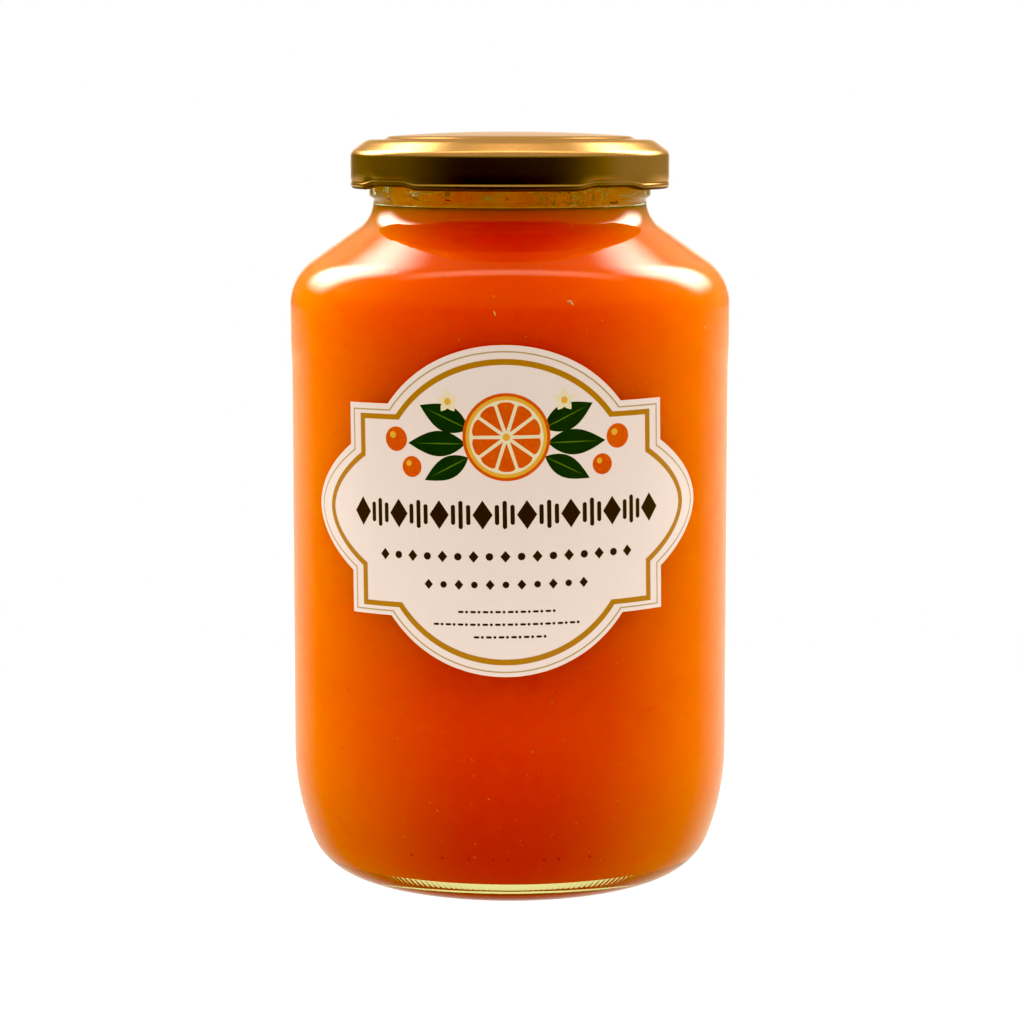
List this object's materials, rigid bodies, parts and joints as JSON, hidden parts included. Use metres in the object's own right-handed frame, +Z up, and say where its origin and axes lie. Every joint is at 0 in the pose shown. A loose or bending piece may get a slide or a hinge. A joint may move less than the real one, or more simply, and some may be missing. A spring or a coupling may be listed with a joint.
{
  "type": "marmalade jar",
  "caption": "Shut straight-sided glass jar filled with orange marmalade, with a twist-off metal cap and a plaque-shaped paper label; stands on its base.",
  "frame": {"origin": "on the jar's axis, in the plane of the flat ring that it stands on", "axes": "+Z up along the jar's axis, from the base to the cap; -Y out through the middle of the label; +X to the right of someone who reads the label"},
  "size_m": [0.1022, 0.1024, 0.1726],
  "materials": {
    "clear_glass": "clear, faintly green, polished",
    "orange_marmalade": "gloss",
    "gold_lacquer": "satin",
    "label_paper": "matte"
  },
  "bodies": {
    "root": {"jar_glass": "clear_glass", "marmalade": "orange_marmalade", "lid": "gold_lacquer", "label": "label_paper"}
  },
  "joints": []
}
